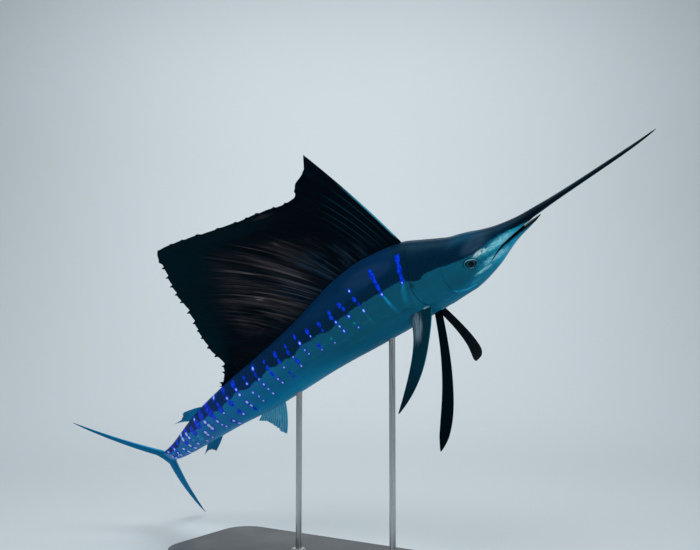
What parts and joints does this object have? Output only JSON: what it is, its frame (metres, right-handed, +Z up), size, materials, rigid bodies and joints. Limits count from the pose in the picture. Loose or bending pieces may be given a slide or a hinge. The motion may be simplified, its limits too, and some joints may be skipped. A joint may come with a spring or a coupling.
{
  "type": "sailfish model",
  "caption": "Life-size still model of a swimming sailfish: long bill, raised sail, glowing blue spots and a forked tail, banking on a flat stand with rods.",
  "frame": {"origin": "centre of the stand base's underside, on the floor", "axes": "+Z up; +X towards the side the fish's nose points to in the picture; +Y away from the picture's camera"},
  "size_m": [1.9479, 1.2919, 1.3248],
  "materials": {
    "bill_skin": "satin, dark blue-black",
    "head_skin": "satin, silver-blue under a blue-black crown",
    "eye_surface": "glossy, dark",
    "banded_skin": "satin, blue back, silver-blue flank, rows of bright blue spots",
    "tail_skin": "satin, blue over silver with bright blue spots",
    "sail_membrane": "soft sheen, blue-black",
    "dark_fin_membrane": "soft sheen, blue-black",
    "pale_fin_membrane": "translucent, blue-grey",
    "stand_paint": "black satin paint on board",
    "stand_steel": "brushed"
  },
  "bodies": {
    "root": {"bill": "bill_skin", "head": "head_skin", "lower_jaw": "head_skin", "eye_right": "eye_surface", "eye_left": "eye_surface", "trunk_front": "banded_skin", "trunk_rear": "banded_skin", "tail_stock": "tail_skin", "sail": "sail_membrane", "second_dorsal_fin": "dark_fin_membrane", "first_anal_fin": "pale_fin_membrane", "second_anal_fin": "pale_fin_membrane", "pectoral_fin_right": "dark_fin_membrane", "pectoral_fin_left": "dark_fin_membrane", "pelvic_fin_right": "dark_fin_membrane", "pelvic_fin_left": "dark_fin_membrane", "tail_fin_upper": "pale_fin_membrane", "tail_fin_lower": "pale_fin_membrane", "stand_base": "stand_paint", "stand_rod_front": "stand_steel", "stand_rod_rear": "stand_steel"}
  },
  "joints": []
}
